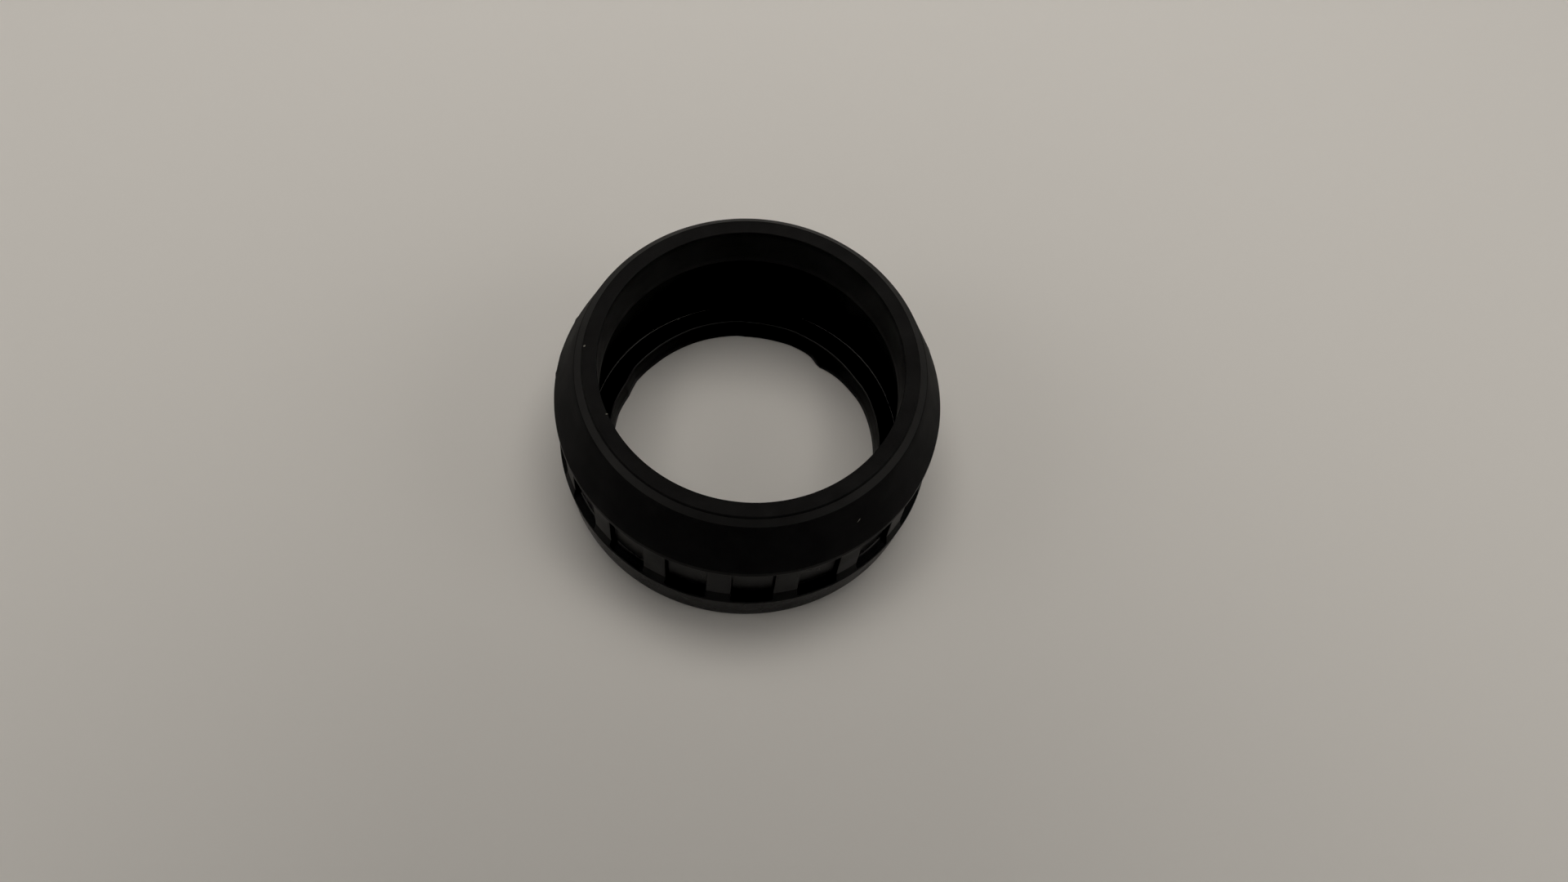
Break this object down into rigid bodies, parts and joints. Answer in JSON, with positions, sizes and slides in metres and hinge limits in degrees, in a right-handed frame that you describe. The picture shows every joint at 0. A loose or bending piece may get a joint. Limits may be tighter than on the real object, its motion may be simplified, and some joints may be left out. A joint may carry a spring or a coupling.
{
  "type": "labyrinth seal ring",
  "caption": "Tapered moulded seal ring with a belt of shallow pockets, an inner groove and a thin lower lip.",
  "frame": {"origin": "centre of the foot circle, on the plane the ring stands on", "axes": "+Z along the ring's axis, from the lip's mouth to the flat rim; -Y is the front, where the wall has a post"},
  "size_m": [0.0402, 0.0402, 0.0198],
  "materials": {
    "body": "matte rim, satin walls"
  },
  "bodies": {
    "root": {"seal_ring": "body"}
  },
  "joints": []
}
